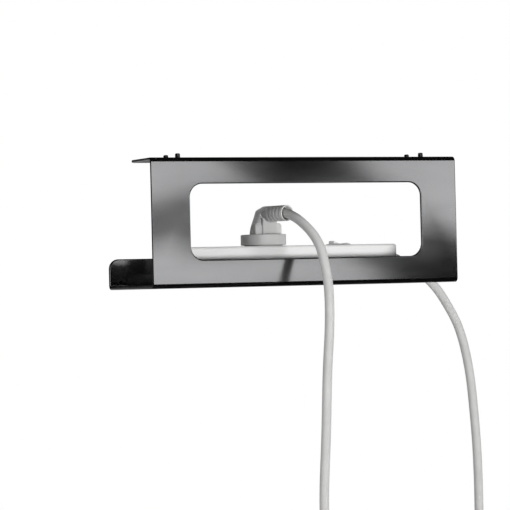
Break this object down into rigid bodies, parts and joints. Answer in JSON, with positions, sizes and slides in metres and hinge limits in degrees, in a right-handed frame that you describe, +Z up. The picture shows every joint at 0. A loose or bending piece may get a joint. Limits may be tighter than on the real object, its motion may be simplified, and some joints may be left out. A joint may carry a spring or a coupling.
{
  "type": "under-desk cable tray",
  "caption": "Folded steel cable tray with a window, holding a switched socket strip with its supply cord and an angled plug with its appliance cord.",
  "frame": {"origin": "centre of the top flange's upper face, where it meets the underside of the table", "axes": "+X along the tray, +Y away from the window plate, +Z up into the table"},
  "size_m": [0.3647, 0.2038, 0.5812],
  "materials": {
    "tray_lacquer": "satin dark metallic lacquer",
    "black_steel": "black oxide",
    "zinc_steel": "bright zinc",
    "white_plastic": "soft gloss",
    "light_plastic": "satin moulded",
    "foot_rubber": "matte",
    "brass": "rolled strip",
    "nickel": "nickel plate",
    "tie_fabric": "woven hook and loop tape",
    "brown_core": "PVC insulation",
    "blue_core": "PVC insulation",
    "green_core": "PVC insulation",
    "cord_sheath": "satin PVC sheath"
  },
  "bodies": {
    "tray_and_strip": {"clamp_screw_1": "zinc_steel", "clamp_screw_2": "zinc_steel", "cord_clamp": "light_plastic", "core_earth": "green_core", "core_live": "brown_core", "core_neutral": "blue_core", "earth_clip_1": "brass", "earth_clip_2": "brass", "earth_clip_3": "brass", "earth_rail": "brass", "live_rail": "brass", "mounting_screw_1": "black_steel", "mounting_screw_2": "black_steel", "mounting_screw_3": "black_steel", "mounting_screw_4": "black_steel", "mounting_washer_1": "black_steel", "mounting_washer_2": "black_steel", "mounting_washer_3": "black_steel", "mounting_washer_4": "black_steel", "neutral_rail": "brass", "shell_screw_1": "zinc_steel", "shell_screw_2": "zinc_steel", "shell_screw_3": "zinc_steel", "shell_screw_4": "zinc_steel", "socket_insert_1": "light_plastic", "socket_insert_2": "light_plastic", "socket_insert_3": "light_plastic", "strip_cord_gland": "light_plastic", "strip_foot_1": "foot_rubber", "strip_foot_2": "foot_rubber", "strip_foot_3": "foot_rubber", "strip_foot_4": "foot_rubber", "strip_lower_shell": "white_plastic", "strip_upper_shell": "white_plastic", "supply_coil": "cord_sheath", "supply_cord": "cord_sheath", "supply_plug_body": "white_plastic", "supply_plug_pin_live": "nickel", "supply_plug_pin_neutral": "nickel", "supply_plug_relief": "light_plastic", "supply_tail": "cord_sheath", "supply_tie": "tie_fabric", "switch_housing": "light_plastic", "switch_link": "brown_core", "tray_body": "tray_lacquer"},
    "rocker": {"switch_rocker": "light_plastic"},
    "plug": {"appliance_coil": "cord_sheath", "appliance_cord": "cord_sheath", "appliance_tail": "cord_sheath", "appliance_tie": "tie_fabric", "connector_body": "white_plastic", "connector_relief": "light_plastic", "plug_body": "white_plastic", "plug_earth_contact_front": "brass", "plug_earth_contact_rear": "brass", "plug_neck_relief": "light_plastic", "plug_pin_live": "nickel", "plug_pin_neutral": "nickel"}
  },
  "joints": [
    {"name": "switch_rock", "type": "hinge", "parent": "tray_and_strip", "child": "rocker", "pos_m": [0.0566, 0.033, -0.0797], "axis": [0, -1, 0], "range_deg": [0, 16]},
    {"name": "plug_pull", "type": "slide", "parent": "tray_and_strip", "child": "plug", "axis": [0, 0, 1], "range_m": [0, 0.03]}
  ]
}
